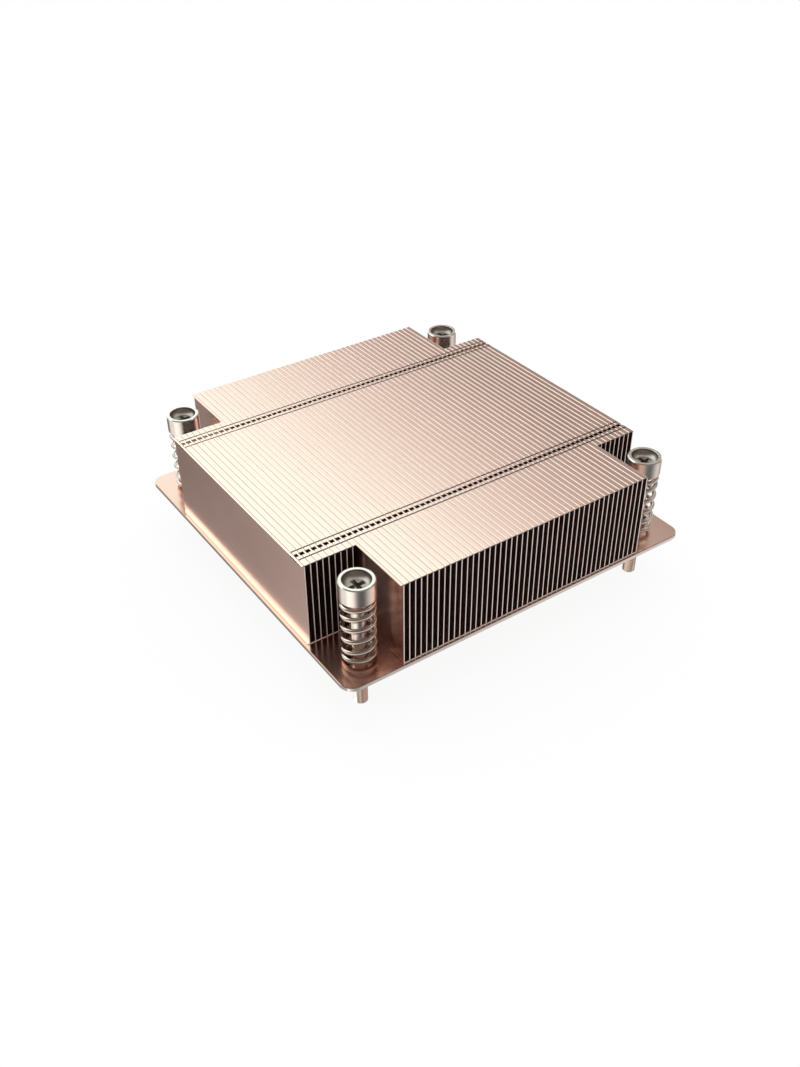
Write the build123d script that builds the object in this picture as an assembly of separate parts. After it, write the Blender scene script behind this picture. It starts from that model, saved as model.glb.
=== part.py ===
from build123d import *
import os
from math import cos, pi, sin

# Passive server processor heatsink: folded copper fins on a thin copper base, held down by four sprung screws.
# Millimetres. The origin is the centre of the base plate's underside and +Z is up. The air passes along Y and
# the fins are stacked along X. Left and right are -X and +X, front and back are -Y and +Y.

# Base plate
plate_width = 90.0
plate_depth = 90.0
plate_thickness = 1.0
plate_corner_radius = 3.0
contact_zone_side = 40.0

# Screw holes
hole_spacing_x = 75.0
hole_spacing_y = 75.0
hole_clearance = 0.1

# Fin sheet
sheet_thickness = 0.3
bend_radius = 0.5
fin_height = 20.0
fin_pitch = 1.365
long_fin_length = 88.0
short_fin_length = 57.0
flange_gap = 0.02
lip_length = 0.62

# Fin stack: the long fins between the screws and the short ones at each side, as many as the pitch allows.
# It stands a little to the left and to the front of the plate's centre.
long_stack_width = 63.0
short_stack_width_left = 12.5
short_stack_width_right = 11.2
stack_shift_left = 1.0425
stack_shift_front = 0.5

# Lock windows in the free edge of each top flange, in two rows across the stack
lock_row_spacing = 49.6
window_width = 0.8
window_depth = 0.6

# Captive screw
thread_diameter = 3.0
thread_below_plate = 11.3
shank_diameter = 3.2
head_diameter = 7.5
head_height = 4.2
head_below_fin_tops = 0.5
cup_diameter = 6.1
cup_depth = 1.5
recess_span = 3.6
recess_slot_width = 1.0
recess_depth = 1.1

# Clip in a groove of the screw, under the plate
groove_diameter = 2.3
groove_width = 0.6
clip_width = 5.0
clip_leg_length = 2.0
clip_thickness = 0.5
clip_bore_clearance = 0.02
clip_mouth_width = 2.1
clip_gap_to_plate = 0.05

# Compression spring
spring_outer_diameter = 7.2
spring_wire_diameter = 0.8
spring_active_turn_count = 4.25
spring_closed_turn_count = 1.0
spring_closed_coil_gap = 0.04
spring_seat_gap = 0.05
spring_step_count = 8
spring_wire_side_count = 6

# Levels and places that follow from the sizes above
plate_top = plate_thickness
fin_top = plate_top + fin_height
head_top = fin_top - head_below_fin_tops
head_bottom = head_top - head_height
cup_floor = head_top - cup_depth
clip_top = -clip_gap_to_plate
flange_reach = fin_pitch - flange_gap
long_fin_count = int(long_stack_width / fin_pitch) + 1
short_fin_count_left = int(short_stack_width_left / fin_pitch)
short_fin_count_right = int(short_stack_width_right / fin_pitch)
fin_count = short_fin_count_left + long_fin_count + short_fin_count_right
stack_width = lip_length + (fin_count - 1) * fin_pitch
first_web_x = -stack_shift_left - stack_width / 2 + lip_length

screw_corners = {
    "front_left": (-1, -1),
    "front_right": (1, -1),
    "back_left": (-1, 1),
    "back_right": (1, 1),
}


def base_plate():
    """Thin plate with rounded corners and four screw holes. Its processor contact zone is a face of its own."""
    outline = RectangleRounded(plate_width, plate_depth, plate_corner_radius)
    hole = Circle(shank_diameter / 2 + hole_clearance)
    blank = outline - GridLocations(hole_spacing_x, hole_spacing_y, 2, 2) * hole
    plate = extrude(blank, plate_thickness)
    underside = plate.faces().sort_by(Axis.Z)[0]
    zone = Wire.make_rect(contact_zone_side, contact_zone_side)
    others = [face for face in plate.faces() if face != underside]
    return Solid(Shell([*others, underside.make_holes([zone]), -Face(zone)]))


def fin_section(reach):
    """Channel section of a fin, open to -X, with the web's outer face on x = 0 and its foot on z = 0."""
    t = sheet_thickness
    outline = Polyline(
        (0, 0),
        (0, fin_height),
        (-reach, fin_height),
        (-reach, fin_height - t),
        (-t, fin_height - t),
        (-t, t),
        (-reach, t),
        (-reach, 0),
        close=True,
    )
    section = make_face(Plane.XZ * outline)
    top_bend = section.vertices().group_by(Axis.X)[-1].sort_by(Axis.Z)[-1]
    return fillet(top_bend, bend_radius)


def end_fin(length):
    """Outermost fin, with nothing before it: its flanges are cut back to a lip. Centred on y = 0."""
    return extrude(fin_section(lip_length), length / 2, both=True)


def locked_fin(length):
    """Fin whose flanges reach the web before it, with a lock window in each row. Centred on y = 0."""
    fin = extrude(fin_section(flange_reach), length / 2, both=True)
    window = Box(2 * window_depth, window_width, 4 * sheet_thickness)
    rows = GridLocations(1, lock_row_spacing, 1, 2)
    return fin - Pos(-flange_reach, 0, fin_height) * rows * window


def first_long_fin():
    """Long fin beside the short ones: past their ends, its flanges are cut back to a lip."""
    fin = locked_fin(long_fin_length)
    bare = (long_fin_length - short_fin_length) / 2
    trim_depth = flange_reach - lip_length
    trim = Box(2 * trim_depth, bare, 2 * fin_height)
    ends = GridLocations(1, short_fin_length + bare, 1, 2)
    return fin - Pos(-flange_reach, 0, fin_height / 2) * ends * trim


def fin_place(index):
    """Where the fin of that index, counted from the left, stands on the plate."""
    return Pos(first_web_x + index * fin_pitch, -stack_shift_front, plate_top)


def screw():
    """Cup-headed captive screw on the Z axis, with its thread plain at the outer diameter."""
    thread_r = thread_diameter / 2
    groove_r = groove_diameter / 2
    shank_r = shank_diameter / 2
    head_r = head_diameter / 2
    cup_r = cup_diameter / 2
    groove_top = clip_top + (groove_width - clip_thickness) / 2
    outline = Polyline(
        (0, -thread_below_plate),
        (thread_r, -thread_below_plate),
        (thread_r, groove_top - groove_width),
        (groove_r, groove_top - groove_width),
        (groove_r, groove_top),
        (shank_r, groove_top),
        (shank_r, head_bottom),
        (head_r, head_bottom),
        (head_r, head_top),
        (cup_r, head_top),
        (cup_r, cup_floor),
        (0, cup_floor),
        close=True,
    )
    body = revolve(make_face(Plane.XZ * outline), Axis.Z)
    slot = Rectangle(recess_span, recess_slot_width)
    cross = slot + Rot(0, 0, 90) * slot
    return body - Pos(0, 0, cup_floor) * extrude(cross, -recess_depth)


def clip():
    """Horseshoe clip snapped over the screw's groove, with its two legs towards +X."""
    legs = Pos(clip_leg_length / 2, 0) * Rectangle(clip_leg_length, clip_width)
    mouth = Pos(clip_leg_length / 2, 0) * Rectangle(clip_leg_length, clip_mouth_width)
    bore = Circle(groove_diameter / 2 + clip_bore_clearance)
    blank = Circle(clip_width / 2) - Pos(clip_width / 2, 0) * Rectangle(clip_width, clip_width) + legs
    return Pos(0, 0, clip_top - clip_thickness) * extrude(blank - mouth - bore, clip_thickness)


def spring_rise(turn, height):
    """Rise of the wire's centre line after so many turns: closed coils at both ends, an even pitch between."""
    closed_pitch = spring_wire_diameter + spring_closed_coil_gap
    closed_rise = spring_closed_turn_count * closed_pitch
    turns_left = spring_active_turn_count + 2 * spring_closed_turn_count - turn
    if turn < spring_closed_turn_count:
        return turn * closed_pitch
    if turns_left < spring_closed_turn_count:
        return height - turns_left * closed_pitch
    active_pitch = (height - 2 * closed_rise) / spring_active_turn_count
    return closed_rise + (turn - spring_closed_turn_count) * active_pitch


def spring():
    """Compression spring on the Z axis: flat-sided wire, mitred at even stations round the coil."""
    wire_r = spring_wire_diameter / 2
    coil_r = spring_outer_diameter / 2 - wire_r
    bottom = plate_top + spring_seat_gap + wire_r
    height = head_bottom - spring_seat_gap - wire_r - bottom
    turns = spring_active_turn_count + 2 * spring_closed_turn_count
    steps = round(turns * spring_step_count)
    stations = []
    for step in range(steps + 1):
        turn = turns * step / steps
        angle = 2 * pi * turn
        stations.append((coil_r * cos(angle), coil_r * sin(angle), bottom + spring_rise(turn, height)))
    path = Polyline(*stations)
    start = Plane(path @ 0, z_dir=path % 0)
    wire = start * RegularPolygon(wire_r, spring_wire_side_count)
    return sweep(wire, path=path, transition=Transition.RIGHT)


def write(shape, node):
    export_step(shape, f"parts/{node}.step")


def main():
    os.makedirs("parts", exist_ok=True)
    write(base_plate(), "base_plate")

    short_fin = locked_fin(short_fin_length)
    left = [fin_place(i) * short_fin for i in range(1, short_fin_count_left)]
    write(Compound([fin_place(0) * end_fin(short_fin_length), *left]), "short_fins_left")
    right = [fin_place(i) * short_fin for i in range(fin_count - short_fin_count_right, fin_count)]
    write(Compound(right), "short_fins_right")

    long_fin = locked_fin(long_fin_length)
    for i in range(long_fin_count):
        fin = first_long_fin() if i == 0 else long_fin
        write(fin_place(short_fin_count_left + i) * fin, f"long_fin_{i + 1:02d}")

    screw_and_clip = Compound([screw(), clip()])
    coil = spring()
    for corner, (side_x, side_y) in screw_corners.items():
        place = Pos(side_x * hole_spacing_x / 2, side_y * hole_spacing_y / 2, 0)
        write(place * screw_and_clip, f"screw_{corner}")
        write(place * coil, f"spring_{corner}")


main()
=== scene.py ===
import math

import bmesh
import bpy
import numpy as np
from mathutils import Matrix, Vector


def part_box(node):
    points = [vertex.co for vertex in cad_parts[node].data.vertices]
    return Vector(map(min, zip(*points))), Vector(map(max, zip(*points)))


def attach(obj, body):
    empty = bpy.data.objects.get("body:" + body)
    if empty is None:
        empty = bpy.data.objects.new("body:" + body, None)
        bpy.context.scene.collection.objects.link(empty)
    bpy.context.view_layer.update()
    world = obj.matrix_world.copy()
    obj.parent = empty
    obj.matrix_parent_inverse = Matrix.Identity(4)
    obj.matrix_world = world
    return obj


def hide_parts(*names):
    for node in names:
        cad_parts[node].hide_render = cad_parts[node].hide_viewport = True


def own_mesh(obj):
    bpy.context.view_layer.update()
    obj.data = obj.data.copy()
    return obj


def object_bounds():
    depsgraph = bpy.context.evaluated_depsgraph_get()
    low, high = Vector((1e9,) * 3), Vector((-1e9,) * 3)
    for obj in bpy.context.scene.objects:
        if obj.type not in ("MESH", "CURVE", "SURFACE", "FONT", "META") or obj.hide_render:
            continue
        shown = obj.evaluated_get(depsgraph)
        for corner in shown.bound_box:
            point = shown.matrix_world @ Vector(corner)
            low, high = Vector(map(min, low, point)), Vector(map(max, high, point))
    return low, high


# Passive server processor heatsink: folded copper fins on a copper plate, with four sprung captive screws.
# Shapes are worked out in millimetres and go into the meshes in metres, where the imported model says.

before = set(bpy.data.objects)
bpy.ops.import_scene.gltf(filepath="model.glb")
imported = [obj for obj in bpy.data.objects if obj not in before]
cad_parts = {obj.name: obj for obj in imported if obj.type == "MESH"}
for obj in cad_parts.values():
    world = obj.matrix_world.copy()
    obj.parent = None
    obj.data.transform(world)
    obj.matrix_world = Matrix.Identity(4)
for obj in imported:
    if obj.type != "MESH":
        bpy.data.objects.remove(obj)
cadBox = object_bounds()
mm = 0.001
holeSpacing = 75.0      # of the four screws, along X and along Y, in millimetres
sharpAngle = 32         # where two faces meet at more degrees than this, their edge looks sharp
sameHeight = 1e-7       # heights less than this apart, in metres, are one level
chance = np.random.default_rng(11)
print("stage: frame loaded,", len(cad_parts), "nodes")


def nodeBox(node):
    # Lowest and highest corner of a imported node, in millimetres.
    low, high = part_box(node)
    return np.array(low) / mm, np.array(high) / mm


# Shader sockets and nodes

class Socket:
    # One output socket of a finish. Sums written on it add Math nodes.
    def __init__(self, finish, port):
        self.finish = finish
        self.port = port

    def sum(self, operation, first, second=0.0):
        return self.finish.node("ShaderNodeMath", {"operation": operation}, {0: first, 1: second})

    def __add__(self, other):
        return self.sum("ADD", self, other)

    def __radd__(self, other):
        return self.sum("ADD", other, self)

    def __sub__(self, other):
        return self.sum("SUBTRACT", self, other)

    def __rsub__(self, other):
        return self.sum("SUBTRACT", other, self)

    def __mul__(self, other):
        return self.sum("MULTIPLY", self, other)

    def __rmul__(self, other):
        return self.sum("MULTIPLY", other, self)

    def __lt__(self, other):
        return self.sum("LESS_THAN", self, other)

    def __gt__(self, other):
        return self.sum("GREATER_THAN", self, other)

    def larger(self, other):
        return self.sum("MAXIMUM", self, other)

    def __abs__(self):
        return self.sum("ABSOLUTE", self)

    def between(self, low, high):
        # Rises smoothly from 0 at low to 1 at high, and falls where low is the larger.
        if low > high:
            return 1 - self.between(high, low)
        settings = {"interpolation_type": "SMOOTHSTEP"}
        limits = {"Value": self, "From Min": low, "From Max": high}
        return self.finish.node("ShaderNodeMapRange", settings, limits)


class Finish:
    # The nodes of one material or of the world.
    def __init__(self, owner):
        self.owner = owner
        owner.use_nodes = True
        self.tree = owner.node_tree
        self.tree.nodes.clear()

    def node(self, kind, settings, inputs, output=0):
        # A node of that type with its settings made first, then the values and links of its sockets.
        made = self.tree.nodes.new(kind)
        for name, value in settings.items():
            if name == "stops":
                while len(made.color_ramp.elements) < len(value):
                    made.color_ramp.elements.new(0.5)
                for element, (position, grey) in zip(made.color_ramp.elements, value):
                    element.position = position
                    element.color = (grey, grey, grey, 1)
            else:
                setattr(made, name, value)
        for name, value in inputs.items():
            if isinstance(value, Socket):
                self.tree.links.new(value.port, made.inputs[name])
            else:
                made.inputs[name].default_value = value
        return Socket(self, made.outputs[output]) if made.outputs else None

    def place(self, kind="Object"):
        return self.node("ShaderNodeTexCoord", {}, {}, kind)

    def attribute(self, name):
        return self.node("ShaderNodeAttribute", {"attribute_name": name}, {}, "Vector")

    def axes(self, vector):
        parts = self.node("ShaderNodeSeparateXYZ", {}, {0: vector})
        return [Socket(self, port) for port in parts.port.node.outputs]

    def join(self, x, y):
        return self.node("ShaderNodeCombineXYZ", {}, {0: x, 1: y})

    def length(self, vector):
        return self.node("ShaderNodeVectorMath", {"operation": "LENGTH"}, {0: vector}, "Value")

    def noise(self, vector, stretch, detail):
        # Noise whose grains number stretch to the metre along each axis.
        scaled = self.node("ShaderNodeMapping", {}, {"Vector": vector, "Scale": stretch})
        return self.node("ShaderNodeTexNoise", {}, {"Vector": scaled, "Scale": 1.0, "Detail": detail})

    def mixColours(self, factor, first, second):
        # A Mix node keeps its colours at inputs 6 and 7 and at output 2.
        return self.node("ShaderNodeMix", {"data_type": "RGBA"}, {0: factor, 6: first, 7: second}, 2)

    def bump(self, height, depth, strength):
        return self.node("ShaderNodeBump", {}, {"Height": height, "Distance": depth, "Strength": strength})

    def metal(self, colour, roughness, normal, metallic=1.0):
        inputs = {"Base Color": colour, "Metallic": metallic, "Roughness": roughness, "Normal": normal}
        self.show(self.node("ShaderNodeBsdfPrincipled", {}, inputs))
        return self.owner

    def show(self, shader, kind="ShaderNodeOutputMaterial"):
        self.node(kind, {}, {"Surface": shader})


# Finishes

longFinLow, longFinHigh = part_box("long_fin_01")
copperLook = {
    "facing": 0.7,                  # a face counts as facing an axis where its normal has more of it
    "sheet": (0.930, 0.625, 0.535, 1),
    "sheetPale": (0.945, 0.665, 0.575, 1),
    "paleByFin": 0.55,              # share of the change between those two that goes by fin, not by cloud
    "sheetGrain": (9000, 260, 9000),        # grains of each pattern to the metre, along X, Y and Z
    "finToFin": (760, 9, 9),
    "sheetCloud": (90, 45, 90),
    "sheetRoughness": 0.08,         # to which the patterns and the places below add
    "grainRoughness": 0.08,
    "cloudRoughness": 0.06,
    "sheetBrush": 0.6,              # strength of the grain's bump
    "finTop": longFinHigh.z,
    "stackMiddleY": (longFinLow.y + longFinHigh.y) / 2,
    "lockRow": 0.0248,              # from the stack's middle to each row, and its punched parts from there
    "windowHalf": 0.0006,
    "slit": 0.001475,
    "slitHalf": 0.00022,
    "punchedUpwards": 0.3,          # a punched part's sides point upwards by less than this
    "punchedDepth": 0.0012,         # and lie at most this far below the fin tops
    # painted shade: near black inside the punched windows and slits, which are also rougher
    "punchedShade": (0.030, 0.014, 0.010, 1),
    "punchedRoughness": 0.4,
    "sheared": (0.960, 0.870, 0.830, 1),
    "shearedRoughness": 0.25,
    "shearedMatte": 0.5,            # how much of a cut end scatters light instead of mirroring it
    # painted shade: dark on the cut ends at the tops of the flanges, down to the depth below
    "flangeEndShade": (0.300, 0.250, 0.210, 1),
    "shearedTopDepth": 0.0003,
    "freeEdge": (0.970, 0.810, 0.730, 1),
    "freeEdgeRoughness": 0.3,
    "freeEdgeDepth": 0.00022,
    "webRoughness": 0.09,
    "seam": (0.330, 0.230, 0.180, 1),
    "seamTop": longFinLow.z + 0.00014,      # of the dull line where a fin meets the plate
    "plate": (0.830, 0.535, 0.450, 1),
    "plateDeep": (0.780, 0.475, 0.392, 1),
    "plateGrain": (300, 7000, 7000),
    "plateCloud": (55, 55, 55),
    "plateRoughness": 0.12,
    "plateGrainRoughness": 0.07,
    "plateCloudRoughness": 0.08,
    "plateBrush": 0.5,
    "plateEdge": (0.960, 0.840, 0.790, 1),
    "plateEdgeUpwards": 0.5,
    "plateEdgeRoughness": 0.25,
    # painted shade: the two cut edges that face along X are darker
    "plateSideShade": (0.400, 0.350, 0.310, 1),      # of the two edges that face along X
    "plateSideFacing": 0.8,
    "brushDepth": 0.0000025,
    "contactHalf": 0.0200,          # half the side of the lapped square under the plate
    "contactHeight": 0.0001,
    "lappedSmoother": 0.1,
    "lappedFlatter": 0.8,
}
steelLook = {
    "nickel": (0.915, 0.780, 0.712, 1),
    "nickelWarm": (0.825, 0.695, 0.625, 1),
    "rings": (5200, 60, 60),        # grains to the metre along the profile, and across it
    "spots": (240, 240, 240),
    "nickelRoughness": 0.17,
    "ringRoughness": 0.07,
    "spotRoughness": 0.06,
    "cupRoughness": 0.15,
    "ringDepth": 0.000003,
    "ringBump": 0.5,
    # painted shade: the inside of the pressed cup is darker
    "cup": (0.440, 0.360, 0.312, 1),
    # painted shade: the driver recess below the cup's floor is darker still
    "recess": (0.290, 0.255, 0.215, 1),
    "screwPlace": holeSpacing / 2 * mm,     # of each screw's axis from the middle, along X and along Y
    "cupRadius": 0.00298,
    "cupHeights": (0.0176, 0.01897, 0.02044),   # of the recess's foot, the cup's floor and its lip
    "wire": (0.785, 0.635, 0.565, 1),
    "wireDark": (0.510, 0.398, 0.342, 1),
    "drawnLines": (7, 7, 160),      # round the wire and along it
    "darkEdges": (0.35, 0.7),
    "wireRoughness": 0.07,
    "lineRoughness": 0.08,
    "lineDepth": 0.000005,
    "lineBump": 0.5,
}


def copperSheetFinish(look):
    # Rolled sheet: grains drawn out along Y, a slow change of tone from fin to fin and soft cloudy spots.
    # The insides of the punched windows and slits of the lock rows are painted near black as shade, and cut
    # edges are pale and dull, with painted shade on the cut ends at the tops of the flanges.
    finish = Finish(bpy.data.materials.new("copperSheet"))
    place = finish.place()
    x, y, z = finish.axes(place)
    acrossX, acrossY, acrossZ = finish.axes(finish.place("Normal"))
    fromTop = look["finTop"] - z
    grain = finish.noise(place, look["sheetGrain"], 3.0)
    byFin = finish.noise(place, look["finToFin"], 0.0)
    cloud = finish.noise(place, look["sheetCloud"], 3.0)
    fromRow = abs(abs(y - look["stackMiddleY"]) - look["lockRow"])
    punched = (fromRow < look["windowHalf"]).larger(abs(fromRow - look["slit"]) < look["slitHalf"])
    punched = punched * (acrossZ < look["punchedUpwards"]) * (fromTop < look["punchedDepth"])
    sheared = abs(acrossY) > look["facing"]
    # Where painted shade goes: cut ends near the tops of the flanges.
    flangeEndShade = sheared * (fromTop < look["shearedTopDepth"])
    freeEdge = (acrossX < -look["facing"]) * (fromTop < look["freeEdgeDepth"])
    seam = (z < look["seamTop"]) * (abs(acrossY) < look["facing"])
    web = (abs(acrossX) > look["facing"]) * (1 - freeEdge)
    pale = look["paleByFin"] * byFin + (1 - look["paleByFin"]) * cloud
    tone = finish.mixColours(pale, look["sheet"], look["sheetPale"])
    # Painted shade: the insides of the punched windows and slits go near black.
    tone = finish.mixColours(punched, tone, look["punchedShade"])
    tone = finish.mixColours(sheared, tone, look["sheared"])
    # Painted shade on the cut ends at the tops of the flanges.
    tone = finish.mixColours(flangeEndShade, tone, look["flangeEndShade"])
    tone = finish.mixColours(freeEdge * (1 - punched), tone, look["freeEdge"])
    tone = finish.mixColours(seam, tone, look["seam"])
    roughness = look["sheetRoughness"] + look["grainRoughness"] * grain + look["cloudRoughness"] * cloud
    roughness = roughness + look["punchedRoughness"] * punched + look["shearedRoughness"] * sheared
    roughness = roughness + look["freeEdgeRoughness"] * freeEdge + look["webRoughness"] * web
    bump = finish.bump(grain, look["brushDepth"], look["sheetBrush"])
    return finish.metal(tone, roughness, bump, 1 - look["shearedMatte"] * sheared)


def copperPlateFinish(look):
    # Rolled plate: a deeper red than the sheet, with faint long rolling marks along X and pale cut edges, of
    # which the two that face along X are painted dark as shade.
    # It is lapped bright under the middle, for the processor.
    finish = Finish(bpy.data.materials.new("copperPlate"))
    place = finish.place()
    x, y, z = finish.axes(place)
    acrossX, acrossY, acrossZ = finish.axes(finish.place("Normal"))
    grain = finish.noise(place, look["plateGrain"], 3.0)
    cloud = finish.noise(place, look["plateCloud"], 4.0)
    half = look["contactHalf"]
    lapped = (abs(x) < half) * (abs(y) < half) * (z < look["contactHeight"])
    cutEdge = abs(acrossZ) < look["plateEdgeUpwards"]
    tone = finish.mixColours(cloud, look["plate"], look["plateDeep"])
    tone = finish.mixColours(cutEdge, tone, look["plateEdge"])
    # Painted shade on the two cut edges that face along X.
    tone = finish.mixColours(abs(acrossX) > look["plateSideFacing"], tone, look["plateSideShade"])
    roughness = look["plateRoughness"] + look["plateGrainRoughness"] * grain
    roughness = roughness + look["plateCloudRoughness"] * cloud
    roughness = roughness - look["lappedSmoother"] * lapped + look["plateEdgeRoughness"] * cutEdge
    relief = grain * (1 - look["lappedFlatter"] * lapped)
    return finish.metal(tone, roughness, finish.bump(relief, look["brushDepth"], look["plateBrush"]))


def nickelFinish(look):
    # Turned and plated: fine rings that follow the profile, with slight warm spots. The pressed cup is
    # duller and painted darker as shade, and the driver recess is painted darker still as shade.
    finish = Finish(bpy.data.materials.new("nickelPlating"))
    place = finish.place()
    x, y, z = finish.axes(place)
    rings = finish.noise(finish.attribute("surfacePlace"), look["rings"], 2.0)
    cloud = finish.noise(place, look["spots"], 3.0)
    fromAxis = finish.length(finish.join(abs(x) - look["screwPlace"], abs(y) - look["screwPlace"]))
    foot, floor, lip = look["cupHeights"]
    inCup = (fromAxis < look["cupRadius"]) * (z > foot) * (z < lip)
    tone = finish.mixColours(cloud, look["nickel"], look["nickelWarm"])
    # Painted shade inside the pressed cup.
    tone = finish.mixColours(inCup, tone, look["cup"])
    # Painted shade in the driver recess, below the cup's floor.
    tone = finish.mixColours(inCup * (z < floor), tone, look["recess"])
    roughness = look["nickelRoughness"] + look["ringRoughness"] * rings
    roughness = roughness + look["spotRoughness"] * cloud + look["cupRoughness"] * inCup
    return finish.metal(tone, roughness, finish.bump(rings, look["ringDepth"], look["ringBump"]))


def wireFinish(look):
    # Drawn wire: lines along the wire, a little darker where the plating is thin.
    finish = Finish(bpy.data.materials.new("springWire"))
    along = finish.noise(finish.attribute("surfacePlace"), look["drawnLines"], 3.0)
    tone = finish.mixColours(along.between(*look["darkEdges"]), look["wire"], look["wireDark"])
    roughness = look["wireRoughness"] + look["lineRoughness"] * along
    return finish.metal(tone, roughness, finish.bump(along, look["lineDepth"], look["lineBump"]))


copperSheet = copperSheetFinish(copperLook)
copperPlate = copperPlateFinish(copperLook)
nickelPlating = nickelFinish(steelLook)
springWire = wireFinish(steelLook)
print("stage: finishes made")


# Meshes

def gridFaces(rows, columns, closed=False):
    # The four corner numbers of each quad between neighbouring grid points. Closed joins the last column to
    # the first.
    row, column = np.meshgrid(np.arange(rows - 1), np.arange(columns - (not closed)), indexing="ij")
    after = (column + 1) % columns
    near, far = row * columns, (row + 1) * columns
    return np.stack([near + column, near + after, far + after, far + column], -1).reshape(-1, 4)


def tubeFaces(rings, sides):
    # Closed rings joined one to the next, with a face over the first and over the last.
    last = (rings - 1) * sides
    faces = gridFaces(rings, sides, closed=True).tolist()
    return [*faces, list(range(sides)), list(range(last, last + sides))]


def lengthAlong(line):
    # The way from a line's first point to each of its points.
    return np.concatenate([[0], np.cumsum(np.linalg.norm(np.diff(line, axis=0), axis=1))])


def makePiece(name, points, faces, material, surfacePlace=None, fillLevels=()):
    # One closed mesh from points in millimetres. Open loops at the heights in fillLevels get flat faces.
    mesh = bpy.data.meshes.new(name)
    mesh.from_pydata((np.asarray(points) * mm).tolist(), [], [list(map(int, face)) for face in faces])
    if surfacePlace is not None:
        data = mesh.attributes.new("surfacePlace", "FLOAT_VECTOR", "POINT").data
        data.foreach_set("vector", np.asarray(surfacePlace, np.float32).ravel())
    solid = bmesh.new()
    solid.from_mesh(mesh)
    for level in fillLevels:
        rim = [edge for edge in solid.edges
               if edge.is_boundary and all(abs(vert.co.z - level * mm) < sameHeight for vert in edge.verts)]
        bmesh.ops.triangle_fill(solid, edges=rim, use_beauty=True)
    bmesh.ops.delete(solid, geom=[vert for vert in solid.verts if not vert.link_faces], context="VERTS")
    bmesh.ops.recalc_face_normals(solid, faces=solid.faces)
    solid.to_mesh(mesh)
    solid.free()
    return showMesh(name, mesh, material)


def showMesh(name, mesh, material):
    # A piece of that mesh, shaded smooth up to its sharp edges.
    mesh.polygons.foreach_set("use_smooth", np.ones(len(mesh.polygons), bool))
    mesh.set_sharp_from_angle(angle=math.radians(sharpAngle))
    mesh.materials.clear()
    mesh.materials.append(material)
    piece = bpy.data.objects.new(name, mesh)
    bpy.context.scene.collection.objects.link(piece)
    return piece


def applied(piece, name, material):
    # The piece with its modifiers made real, as a new piece.
    depsgraph = bpy.context.evaluated_depsgraph_get()
    mesh = bpy.data.meshes.new_from_object(piece.evaluated_get(depsgraph), depsgraph=depsgraph)
    bpy.data.objects.remove(piece)
    mesh.name = name
    return showMesh(name, mesh, material)


# Base plate

plate = {
    "cornerRadius": 3.0,
    "cornerSteps": 12,
    "edgeBreak": 0.12,
    "holeRadius": 1.7,
    "holeSteps": 48,
}


def makePlate(size):
    # Edge profile, inset by height, carried round the rounded outline and round each hole. Flat faces close
    # it at the top and at the bottom.
    low, high = nodeBox("base_plate")
    half = (high - low)[:2] / 2
    c = size["edgeBreak"]
    profile = [(c, low[2]), (0, low[2] + c), (0, high[2] - c), (c, high[2])]
    quarter = np.linspace(0, math.pi / 2, size["cornerSteps"] + 1)
    turn = (quarter + np.arange(4)[:, None] * math.pi / 2).ravel()
    side = np.repeat([[1, 1], [-1, 1], [-1, -1], [1, -1]], len(quarter), axis=0)
    outward = np.stack([np.cos(turn), np.sin(turn)], -1)
    middle = side * (half - size["cornerRadius"])
    rings = [[middle + (size["cornerRadius"] - inset) * outward for inset, height in profile]]
    turn = np.linspace(0, 2 * math.pi, size["holeSteps"], endpoint=False)
    circle = np.stack([np.cos(turn), np.sin(turn)], -1)
    for corner in ((-1, -1), (1, -1), (1, 1), (-1, 1)):
        centre = np.array(corner) * holeSpacing / 2
        rings.append([centre + (size["holeRadius"] + inset) * circle for inset, height in profile])
    points, faces, start = [], [], 0
    for ring in rings:
        for outline, (inset, height) in zip(ring, profile):
            points.append(np.column_stack([outline, np.full(len(outline), height)]))
        faces.append(gridFaces(len(profile), len(ring[0]), closed=True) + start)
        start += len(profile) * len(ring[0])
    piece = makePiece("basePlate", np.concatenate(points), np.concatenate(faces), copperPlate,
                      fillLevels=(low[2], high[2]))
    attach(piece, "core")
    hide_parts("base_plate")


makePlate(plate)
print("stage: base plate made")


# Fins

fin = {
    "sheet": 0.2,
    "bendRadius": 0.21,
    "bendSteps": (0, 18, 36, 54, 72, 90),       # in degrees
    "edgeRound": 0.09,
    "edgeSteps": (0, 22, 45, 68, 90),
    "besideBend": 0.02,         # how near the flats' first line lies, which keeps them flat
    "webLines": (0.35, 0.7),    # heights of the web's lines between its bends, as shares of the fin's
    "lip": 0.62,
    "flangeGap": 0.01,
    "lockRowFromMiddle": 24.8,
    "windowWidth": 0.95,
    "windowInFlange": 0.6,
    "windowInBend": 0.41,
    "windowDownWeb": 0.5,
    "slitFromRow": 1.475,
    "slitWidth": 0.36,
    "slitInBend": 0.3,
    "unevenEnds": 0.07,
    "unevenHeight": 0.015,
}
leftShortFins = 9
longFins = 47
rightShortFins = 8


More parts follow.
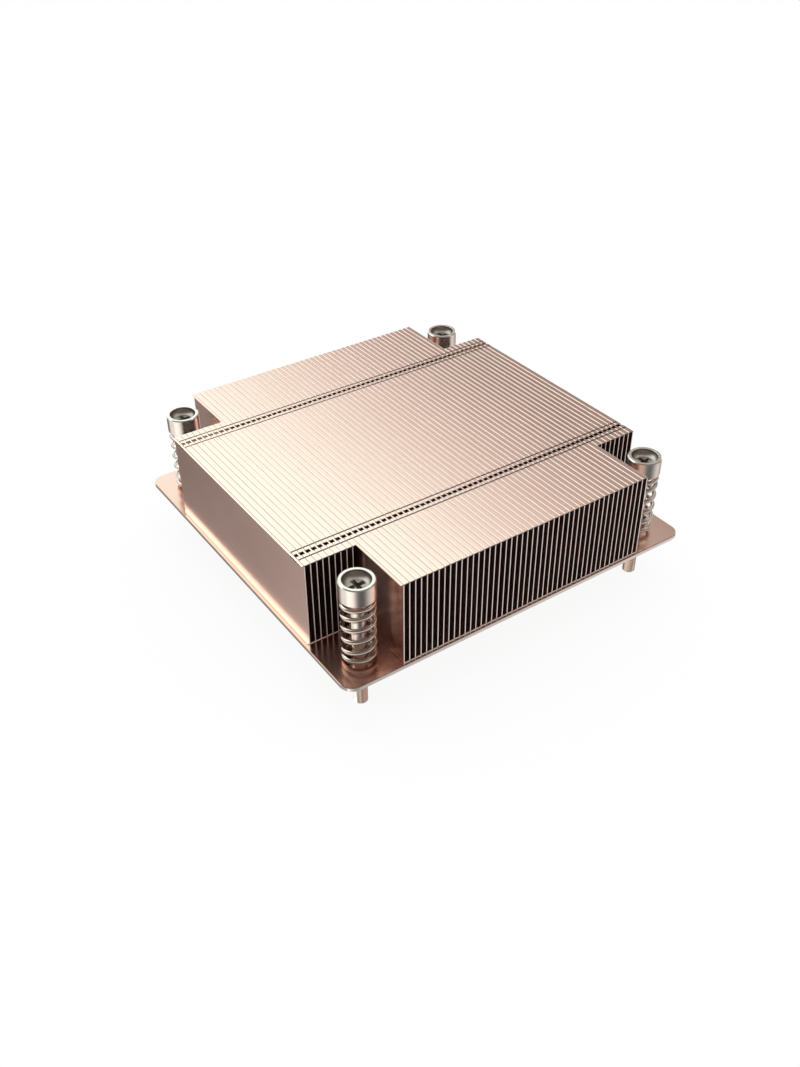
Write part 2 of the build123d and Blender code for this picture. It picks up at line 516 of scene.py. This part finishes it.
def finSection(size, height, reach):
    # The sheet's outer line: from the bottom flange's free edge round the bend, up the web and round the
    # top bend to the top flange's free edge, which is rolled over. With it, the way to the sheet's inside.
    r, e = size["bendRadius"], size["edgeRound"]
    turn, roll = np.radians(size["bendSteps"]), np.radians(size["edgeSteps"])
    arcX, arcDrop = r * np.cos(turn) - r, r - r * np.sin(turn)
    edgeX, edgeDrop = e * (1 - np.sin(roll)) - reach, e * (1 - np.cos(roll))
    beside = size["besideBend"]
    flat = np.unique([r + beside, size["windowInBend"], reach - size["windowInFlange"], reach - e - beside])
    flat = flat[(flat > r) & (flat < reach - e)]
    foot = np.array([reach, r + beside])
    webLines = [height * share for share in size["webLines"]]
    web = np.array([r + beside, *webLines, height - r - size["windowDownWeb"], height - r - beside])
    zero, one = np.zeros_like, np.ones_like
    x = np.concatenate([-foot, arcX[::-1], zero(web), arcX, -flat, edgeX])
    top = height + zero(flat)
    z = np.concatenate([zero(foot), arcDrop[::-1], web, height - arcDrop, top, height - edgeDrop])
    inX = np.concatenate([zero(foot), -np.cos(turn)[::-1], -one(web), -np.cos(turn), zero(flat),
                          zero(edgeX)])
    inZ = np.concatenate([one(foot), np.sin(turn)[::-1], zero(web), -np.sin(turn), -one(flat),
                          edgeDrop / size["sheet"] - 1])
    return np.stack([x, z], -1), np.stack([inX, inZ], -1)


def sheetFaces(keep):
    # keep says where the sheet is, cell by cell. Its outer and inner skins, and a wall wherever it stops.
    rows, columns = keep.shape[0] + 1, keep.shape[1] + 1
    outer = np.arange(rows * columns).reshape(rows, columns)
    inner = outer + rows * columns
    i, j = np.nonzero(keep)
    skins = [np.stack([skin[i, j], skin[i, j + 1], skin[i + 1, j + 1], skin[i + 1, j]], -1)
             for skin in (outer, inner)]
    around = np.pad(keep, 1)
    i, j = np.nonzero(around[1:, 1:-1] != around[:-1, 1:-1])
    acrossSection = np.stack([outer[i, j], outer[i, j + 1], inner[i, j + 1], inner[i, j]], -1)
    i, j = np.nonzero(around[1:-1, 1:] != around[1:-1, :-1])
    alongSection = np.stack([outer[i, j], outer[i + 1, j], inner[i + 1, j], inner[i, j]], -1)
    return np.concatenate([*skins, acrossSection, alongSection])


def makeFin(name, size, webX, low, high, reach, lockWindows, lipPast=None):
    # The section carried along Y from end to end, with the cells of the windows and slits left out. Past
    # lipPast from the middle, the flanges are cut back to a lip.
    height = high[2] - low[2] + chance.uniform(-1, 1) * size["unevenHeight"]
    line, inward = finSection(size, height, reach)
    middleY = (low[1] + high[1]) / 2
    row, away = size["lockRowFromMiddle"], size["slitFromRow"]
    halfWindow, halfSlit = size["windowWidth"] / 2, size["slitWidth"] / 2
    cuts = np.array([-away - halfSlit, -away + halfSlit, -halfWindow, halfWindow, away - halfSlit,
                     away + halfSlit])
    stations = [-(high[1] - low[1]) / 2, 0.0, (high[1] - low[1]) / 2]
    stations += [] if not lockWindows else [*(cuts - row), *(cuts + row)]
    stations += [] if lipPast is None else [-lipPast, lipPast]
    y = np.unique(np.round(stations, 5))
    cellX, cellZ = (line[1:] + line[:-1]).T / 2
    cellY = (y[1:] + y[:-1]) / 2
    fromRow = np.abs(np.abs(cellY) - row)
    above = (cellZ > height / 2)[:, None]
    inWindow = (fromRow < halfWindow)[None, :]
    inSlit = (np.abs(fromRow - away) < halfSlit)[None, :]
    freeEdge = (cellX < size["windowInFlange"] - reach)[:, None]
    windowFoot = height - size["bendRadius"] - size["windowDownWeb"]
    bendPart = ((cellX > -size["windowInBend"]) & (cellZ > windowFoot))[:, None]
    slitPart = (cellX < -size["slitInBend"])[:, None]
    keep = np.ones((len(cellX), len(y) - 1), bool)
    if lockWindows:
        keep &= ~(above & ((inWindow & (freeEdge | bendPart)) | (inSlit & slitPart)))
    if lipPast is not None:
        keep &= ~((np.abs(cellY) > lipPast)[None, :] & (cellX < -size["lip"])[:, None])
    y[[0, -1]] += chance.uniform(-1, 0, 2) * size["unevenEnds"] * np.array([-1, 1])
    skins = []
    for depth in (0, size["sheet"]):
        x, z = (line + inward * depth).T
        grid = np.broadcast_arrays(webX + x[:, None], middleY + y[None, :], low[2] + z[:, None])
        skins.append(np.stack(grid, -1).reshape(-1, 3))
    piece = makePiece(name, np.concatenate(skins), sheetFaces(keep), copperSheet)
    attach(piece, "core")
    return piece


def makeFins(size):
    # The fins from left to right, a pitch apart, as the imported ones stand.
    firstLong, nextLong = nodeBox("long_fin_01"), nodeBox("long_fin_02")
    pitch = nextLong[1][0] - firstLong[1][0]
    firstWeb = firstLong[1][0] - leftShortFins * pitch
    reach = pitch - size["flangeGap"]
    left, right = nodeBox("short_fins_left"), nodeBox("short_fins_right")
    for index in range(leftShortFins):
        name, webX = f"shortFinLeft{index + 1:02d}", firstWeb + index * pitch
        outermost = index == 0
        piece = makeFin(name, size, webX, *left, size["lip"] if outermost else reach, not outermost)
        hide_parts("short_fins_left")
    for index in range(longFins):
        name, webX = f"longFin{index + 1:02d}", firstWeb + (leftShortFins + index) * pitch
        lipPast = (left[1][1] - left[0][1]) / 2 if index == 0 else None
        piece = makeFin(name, size, webX, *firstLong, reach, True, lipPast)
        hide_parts(f"long_fin_{index + 1:02d}")
    for index in range(rightShortFins):
        name, webX = f"shortFinRight{index + 1:02d}", firstWeb + (leftShortFins + longFins + index) * pitch
        piece = makeFin(name, size, webX, *right, reach, True)
        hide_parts("short_fins_right")


makeFins(fin)
print("stage:", leftShortFins + longFins + rightShortFins, "fins made")


# Screws and their clips

screw = {
    "tip": -11.3,
    "tipRadius": 1.0,
    "threadRadius": 1.5,
    "threadPitch": 0.5,
    "threadDepth": 0.31,
    "threadSteepness": 1.3,     # of the rounded saw
    "threadCrest": 0.12,        # how much of the saw the flat crest cuts off
    "threadFade": 0.5,          # how far below the groove the thread has its full depth
    "tipSlope": 1.1,            # how much the tip's cone widens for its height
    "rowsPerPitch": 10,
    "besideGroove": 0.02,       # how near the thread's last ring lies to the groove
    "grooveBottom": -0.6,
    "grooveTop": 0.0,
    "grooveRadius": 1.15,
    "shankRadius": 1.6,
    "shankBreak": 0.08,
    "headBottom": 16.3,
    "headTop": 20.5,
    "headRadius": 3.75,
    "headRound": 0.3,
    "rimChamfer": 0.2,
    "beside": 0.05,             # how near the flats' first ring lies to a round, which keeps them flat
    "besideRim": 0.03,
    "pole": 0.001,              # radius of the ring round the profile's ends
    "cupRadius": 2.95,
    "cupFloor": 19.0,
    "cupLip": 0.06,
    "cupRound": 1.25,
    "sides": 64,
}
recess = {
    "spans": (3.65, 3.5, 2.3, 0.9),
    "widths": (1.05, 0.98, 0.72, 0.45),
    "depths": (-0.3, 0.0, 0.75, 1.1),
}
clip = {
    "width": 5.0,
    "legLength": 2.0,
    "mouthWidth": 2.1,
    "boreRadius": 1.17,
    "top": -0.05,
    "thickness": 0.5,
    "edgeBreak": 0.06,
    "edgeSegments": 2,
    "arcPoints": 25,
}
fromMiddle = holeSpacing / 2
corners = {"front_left": (-fromMiddle, -fromMiddle), "front_right": (fromMiddle, -fromMiddle),
           "back_left": (-fromMiddle, fromMiddle), "back_right": (fromMiddle, fromMiddle)}


def arc(centreR, centreZ, radius, start, end, steps=6):
    # Points of a round on the profile, from one angle to another in degrees.
    turn = np.radians(np.linspace(start, end, steps + 1))
    return np.column_stack([centreR + radius * np.cos(turn), centreZ + radius * np.sin(turn)])


def screwProfile(s):
    # Radius against height from the tip, up the outside, over the rim and down the cup to its middle.
    shank, groove, foot, shoulder = s["shankRadius"], s["grooveRadius"], s["grooveBottom"], s["grooveTop"]
    r, top, bottom, headRound = s["headRadius"], s["headTop"], s["headBottom"], s["headRound"]
    cup, floor, bowl, lip = s["cupRadius"], s["cupFloor"], s["cupRound"], s["cupLip"]
    chamfer, shankBreak, beside, besideRim = s["rimChamfer"], s["shankBreak"], s["beside"], s["besideRim"]
    rings = np.arange(s["tip"], foot - s["besideGroove"], s["threadPitch"] / s["rowsPerPitch"])
    parts = [
        [(s["pole"], s["tip"])],
        np.column_stack([np.full(len(rings), s["threadRadius"]), rings]),
        [(s["threadRadius"], foot), (groove, foot), (groove, shoulder)],
        [(shank - shankBreak, shoulder), (shank, shoulder + shankBreak)],
        [(shank, bottom - headRound - beside)],
        arc(shank + headRound, bottom - headRound, headRound, 180, 90, 4),
        [(r - headRound - 2 * beside, bottom)],
        arc(r - headRound, bottom + headRound, headRound, -90, 0),
        [(r, bottom + headRound + beside), (r, top - chamfer), (r - chamfer, top)],
        [(r - chamfer - besideRim, top), (cup + lip + besideRim, top)],
        arc(cup + lip, top - lip, lip, 90, 180, 3),
        [(cup, floor + bowl + besideRim)],
        arc(cup - bowl, floor + bowl, bowl, 0, -90, 14),
        [(cup - bowl - besideRim, floor), (s["pole"], floor)],
    ]
    return np.concatenate([np.asarray(part, float) for part in parts])


def makeScrew(name, s, centre):
    # The profile turned round Z. On the thread the radius falls by a rounded saw of height less turn, which
    # fades out towards the groove, and the tip's cone cuts it.
    profile = screwProfile(s)
    turn = np.linspace(0, 2 * math.pi, s["sides"], endpoint=False)
    radius, height = (np.repeat(column[:, None], s["sides"], 1) for column in profile.T)
    threaded = (height < s["grooveBottom"] - s["besideGroove"] / 2) & (radius > s["tipRadius"] / 2)
    phase = (height / s["threadPitch"] - turn / (2 * math.pi)) % 1
    valley = np.clip(np.abs(2 * phase - 1) * s["threadSteepness"] - s["threadCrest"], 0, 1)
    fade = np.clip((s["grooveBottom"] - height) / s["threadFade"], 0, 1)
    cut = s["threadRadius"] - s["threadDepth"] * valley * fade
    cone = s["tipRadius"] + (height - s["tip"]) * s["tipSlope"]
    radius = np.where(threaded, np.minimum(cut, cone), radius)
    x, y = centre[0] + radius * np.cos(turn), centre[1] + radius * np.sin(turn)
    points = np.stack([x, y, height], -1).reshape(-1, 3)
    place = np.zeros((len(profile), s["sides"], 3))
    place[..., 0] = lengthAlong(profile)[:, None] * mm
    return makePiece(name, points, tubeFaces(len(profile), s["sides"]), nickelPlating, place.reshape(-1, 3))


def makeRecessCutter(cross, floor, centre):
    # A cross outline, wing span by wing width, that narrows level by level to the recess's foot.
    levels = []
    for span, width, depth in zip(cross["spans"], cross["widths"], cross["depths"]):
        a, b = span / 2, width / 2
        wing = np.array([(a, -b), (a, b), (b, b)])
        outline = np.concatenate([wing @ np.array([[math.cos(t), math.sin(t)], [-math.sin(t), math.cos(t)]])
                                  for t in np.arange(4) * math.pi / 2])
        levels.append(np.column_stack([outline + centre, np.full(len(outline), floor - depth)]))
    faces = tubeFaces(len(levels), len(outline))
    return makePiece("recessCutter", np.concatenate(levels), faces, nickelPlating)


def cutRecess(blank, cutter, name):
    # The screw less the cutter, which is then removed.
    modifier = blank.modifiers.new("recess", "BOOLEAN")
    modifier.operation = "DIFFERENCE"
    modifier.solver = "EXACT"
    modifier.object = cutter
    finished = applied(blank, name, nickelPlating)
    bpy.data.objects.remove(cutter)
    return finished


def makeClip(name, c, centre):
    # Horseshoe outline, raised to the clip's thickness: half circle and legs outside, bore and mouth inside.
    half, bore, mouth, leg = c["width"] / 2, c["boreRadius"], c["mouthWidth"] / 2, c["legLength"]
    outside = np.radians(np.linspace(90, 270, c["arcPoints"]))
    outer = half * np.column_stack([np.cos(outside), np.sin(outside)])
    opening = math.degrees(math.asin(mouth / bore))
    inside = np.radians(np.linspace(360 - opening, opening, c["arcPoints"]))
    inner = bore * np.column_stack([np.cos(inside), np.sin(inside)])
    outline = np.concatenate([outer, [(leg, -half), (leg, -mouth)], inner, [(leg, mouth), (leg, half)]])
    heights = np.repeat([c["top"] - c["thickness"], c["top"]], len(outline))
    points = np.column_stack([np.tile(outline + centre, (2, 1)), heights])
    faces = tubeFaces(2, len(outline))
    blank = makePiece(name + "Blank", points, faces, nickelPlating, points[:, [2, 0, 1]] * mm)
    modifier = blank.modifiers.new("edges", "BEVEL")
    modifier.width = c["edgeBreak"] * mm
    modifier.segments = c["edgeSegments"]
    modifier.limit_method = "ANGLE"
    return applied(blank, name, nickelPlating)


def cornerName(corner):
    # front_left becomes FrontLeft.
    side, hand = corner.split("_")
    return side.capitalize() + hand.capitalize()


for corner, centre in corners.items():
    blank = makeScrew("screwBlank", screw, centre)
    cutter = makeRecessCutter(recess, screw["cupFloor"], centre)
    for piece in (cutRecess(blank, cutter, "screw" + cornerName(corner)),
                  makeClip("clip" + cornerName(corner), clip, centre)):
        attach(piece, "screw_" + corner)
        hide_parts("screw_" + corner)
print("stage: screws and clips made")


# Springs

spring = {
    "coilRadius": 3.2,
    "wireRadius": 0.5,
    "activeTurns": 4.25,
    "closedTurns": 1.0,
    "closedPitch": 1.04,
    "stepsPerTurn": 40,
    "easing": 4,                # steps each side over which a change of rise is evened out
    "sides": 14,
    "pressTravel": 9.0,
}


def makeSpring(name, s, low, high, centre):
    # A round wire carried along a helix whose rise is closed at both ends and even between.
    turns = s["activeTurns"] + 2 * s["closedTurns"]
    bottom, top = low[2] + s["wireRadius"], high[2] - s["wireRadius"]
    closed = s["closedTurns"] * s["closedPitch"]
    turn = np.linspace(0, turns, round(turns * s["stepsPerTurn"]) + 1)
    knots = [0, s["closedTurns"], turns - s["closedTurns"], turns]
    rise = np.interp(turn, knots, [bottom, bottom + closed, top - closed, top])
    window = 2 * s["easing"] + 1
    rise = np.convolve(np.pad(rise, s["easing"], mode="edge"), np.ones(window) / window, mode="valid")
    angle = 2 * math.pi * turn
    outward = np.column_stack([np.cos(angle), np.sin(angle), np.zeros(len(angle))])
    line = outward * s["coilRadius"] + np.array([*centre, 0])
    line[:, 2] = rise
    along = np.gradient(line, axis=0)
    along /= np.linalg.norm(along, axis=1)[:, None]
    upward = np.cross(along, outward)
    around = np.linspace(0, 2 * math.pi, s["sides"], endpoint=False)[None, :, None]
    wire = s["wireRadius"] * (np.cos(around) * outward[:, None] + np.sin(around) * upward[:, None])
    points = (line[:, None] + wire).reshape(-1, 3)
    length = lengthAlong(line)[:, None] * mm
    place = np.stack(np.broadcast_arrays(np.cos(around[..., 0]), np.sin(around[..., 0]), length), -1)
    return makePiece(name, points, tubeFaces(len(line), s["sides"]), springWire, place.reshape(-1, 3))


for corner, centre in corners.items():
    low, high = nodeBox("spring_" + corner)
    piece = makeSpring("spring" + cornerName(corner), spring, low, high, centre)
    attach(piece, "spring_" + corner)
    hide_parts("spring_" + corner)
    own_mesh(piece)
print("stage: springs made")


# Floor, studio light and camera

studio = {
    "floorSize": 8.0,
    "floorDrop": 0.00002,
    "floorTone": 0.92,
    "whiteShare": 0.9,          # of the floor, as the camera sees it; what is left shows the shadow
    "skyTone": 0.80,            # of the sky behind the object, where x is skyTilt times z
    "skyTilt": 0.95,
    "skySlope": 4.1,            # how fast it darkens to the right of there
    "skyLimits": (0.3, 1.4),
    "overheadDim": 0.35,        # how much darker the sky is farther overhead, and where that begins
    "overheadEdge": (-0.25, -0.31),
    "zenithDim": 0.25,          # how much darker it is straight above, and where that begins
    "zenithEdge": (0.85, 0.95),
    "lowSkyDim": 0.22,          # how much darker it is nearer to the horizon, and where that begins
    "lowSkyEdge": (0.43, 0.32),
    "leftSky": 1.1,             # how much brighter it is at the far left, and where that begins each way
    "leftSkyEdges": ((0.30, 0.10), (0.25, 0.45), (0.35, 0.50)),
    "nearSkyTone": 0.20,        # of the sky on the near left side, and where it gives way to the far one
    "nearSkyEdge": (0.2, -0.1),
    "nearSide": (-0.57, -0.82),
    "horizonTone": 0.98,
    "farHorizonGlow": 0.90,     # how much brighter the horizon is behind the object, and where that begins
    "farHorizonEdges": ((0.0, 0.35), (-0.30, -0.10), (0.2, -0.3)),
    "leftHorizonShare": 0.45,   # of that glow at the far left
    "horizonFade": (0.2, -0.04),
    "horizonFartherUp": 0.14,   # how much higher the horizon's band reaches behind the object
    "lowFade": (-0.3, -0.42),
    "skyTint": (1.0, 1.0, 0.99, 1),
    "brightTint": (0.86, 1.0, 1.0, 1),    # of the brightest sky
    "highTint": (0.90, 1.14, 1.12, 1),    # of its part well above the horizon
    "highEdge": (0.40, 0.50),
    "brightTones": (0.5, 1.5),
    "lowTint": (1.0, 0.965, 0.94, 1),
    "nearLowTint": (0.945, 1.0, 0.985, 1),    # of the low surroundings on the near left side
    "lampPlace": (0.0, 0.12, 0.65),
    "lampSize": 0.5,
    "lampWatts": 0.9,
    # Tones of the low surroundings, against the direction's share of a turn from -X round by -Y
    "lowTones": [(0.0, 1.4), (0.09, 1.2), (0.13, 0.6), (0.165, 0.22), (0.21, 0.10), (0.28, 0.13),
                 (0.345, 0.5), (0.41, 0.8), (0.46, 0.7), (0.52, 0.4), (0.60, 0.35), (0.68, 0.35),
                 (0.74, 0.12), (0.80, 0.07), (0.83, 0.38), (0.86, 0.76), (0.885, 1.0), (0.93, 0.9),
                 (0.97, 1.0), (1.0, 1.35)],
}


def makeFloor(s):
    # A flat square just under the screws' tips.
    half = s["floorSize"] / 2
    height = cadBox[0].z - s["floorDrop"]
    square = [(x, y, height) for x, y in ((-half, -half), (half, -half), (half, half), (-half, half))]
    mesh = bpy.data.meshes.new("floor")
    mesh.from_pydata(square, [], [(0, 1, 2, 3)])
    floor = bpy.data.objects.new("floor", mesh)
    bpy.context.scene.collection.objects.link(floor)
    finish = Finish(bpy.data.materials.new("paleFloor"))
    tone = (s["floorTone"],) * 3 + (1,)
    matte = finish.node("ShaderNodeBsdfDiffuse", {}, {"Color": tone})
    white = finish.node("ShaderNodeEmission", {}, {"Color": (1, 1, 1, 1), "Strength": 1.0})
    seen = finish.node("ShaderNodeLightPath", {}, {}, "Is Camera Ray") * s["whiteShare"]
    finish.show(finish.node("ShaderNodeMixShader", {}, {0: seen, 1: matte, 2: white}))
    mesh.materials.append(finish.owner)
    floor.visible_glossy = False


def lightWorld(s):
    # Metal shows a soft sky that falls off to the right, a bright horizon and low surroundings of several
    # tones. All else is lit by plain white.
    finish = Finish(bpy.data.worlds.new("studio"))
    bpy.context.scene.world = finish.owner
    x, y, z = finish.axes(finish.place("Generated"))
    slope = x - s["skyTilt"] * z
    farSky = s["skyTone"] - s["skySlope"] * slope
    low, high = s["skyLimits"]
    farSky = finish.node("ShaderNodeClamp", {}, {"Value": farSky, "Min": low, "Max": high})
    farSky = farSky - s["overheadDim"] * slope.between(*s["overheadEdge"])
    farSky = farSky - s["zenithDim"] * z.between(*s["zenithEdge"])
    farSky = farSky - s["lowSkyDim"] * z.between(*s["lowSkyEdge"])
    alongX, alongY, alongZ = s["leftSkyEdges"]
    farSky = farSky + s["leftSky"] * x.between(*alongX) * y.between(*alongY) * z.between(*alongZ)
    far = (s["nearSide"][0] * x + s["nearSide"][1] * y).between(*s["nearSkyEdge"])
    sky = s["nearSkyTone"] + (farSky - s["nearSkyTone"]) * far
    alongY, alongZ, alongX = s["farHorizonEdges"]
    glow = s["farHorizonGlow"] * y.between(*alongY) * z.between(*alongZ)
    horizon = s["horizonTone"] + glow * (1 - (1 - s["leftHorizonShare"]) * x.between(*alongX))
    upper = sky + (horizon - sky) * (z - s["horizonFartherUp"] * far).between(*s["horizonFade"])
    turn = finish.node("ShaderNodeMath", {"operation": "ARCTAN2"}, {0: y, 1: x}) * (0.5 / math.pi) + 0.5
    lower = finish.node("ShaderNodeValToRGB", {"stops": s["lowTones"]}, {0: turn})
    below = z.between(*s["lowFade"])
    tone = upper + (lower - upper) * below
    brightTint = finish.mixColours(z.between(*s["highEdge"]), s["brightTint"], s["highTint"])
    skyTint = finish.mixColours(upper.between(*s["brightTones"]), s["skyTint"], brightTint)
    lowTint = finish.mixColours(far, s["nearLowTint"], s["lowTint"])
    tint = finish.mixColours(below, skyTint, lowTint)
    glossy = finish.node("ShaderNodeLightPath", {}, {}, "Is Glossy Ray")
    strength = 1 + (tone - 1) * glossy
    tint = finish.mixColours(glossy, (1, 1, 1, 1), tint)
    background = finish.node("ShaderNodeBackground", {}, {"Color": tint, "Strength": strength})
    finish.show(background, "ShaderNodeOutputWorld")


def hangLamp(s):
    # A square lamp over the object, turned to it.
    lamp = bpy.data.lights.new("softLamp", "AREA")
    lamp.size = s["lampSize"]
    lamp.energy = s["lampWatts"]
    placed = bpy.data.objects.new("softLamp", lamp)
    placed.location = s["lampPlace"]
    placed.visible_glossy = False
    placed.rotation_euler = (-Vector(s["lampPlace"])).to_track_quat("-Z", "Y").to_euler()
    bpy.context.scene.collection.objects.link(placed)


# Fitted to the photograph's own view of the plate, the fins and the screws
view = {
    "place": (-0.121646, -0.175200, 0.150179),
    "forward": (0.45365, 0.66396, -0.59444),
    "tilt": 0.401,
    "lens": 37.12,
    "sensor": 36.0,
    "nearest": 0.005,           # how near and how far it sees
    "farthest": 20.0,
}


def setCamera(v):
    # The picture's axes from the way it looks, level with the floor, then turned by the small tilt.
    forward = Vector(v["forward"]).normalized()
    level = forward.cross(Vector((0, 0, 1))).normalized()
    down = forward.cross(level)
    c, s = math.cos(math.radians(v["tilt"])), math.sin(math.radians(v["tilt"]))
    right, below = c * level + s * down, c * down - s * level
    camera = bpy.data.cameras.new("camera")
    camera.lens = v["lens"]
    camera.sensor_width = v["sensor"]
    camera.clip_start = v["nearest"]
    camera.clip_end = v["farthest"]
    placed = bpy.data.objects.new("camera", camera)
    turned = Matrix([right, -below, -forward]).transposed().to_4x4()
    placed.matrix_world = Matrix.Translation(v["place"]) @ turned
    bpy.context.scene.collection.objects.link(placed)
    bpy.context.scene.camera = placed


makeFloor(studio)
lightWorld(studio)
hangLamp(studio)
setCamera(view)
bpy.context.scene.view_settings.view_transform = "Standard"
print("stage: floor, light and camera set")
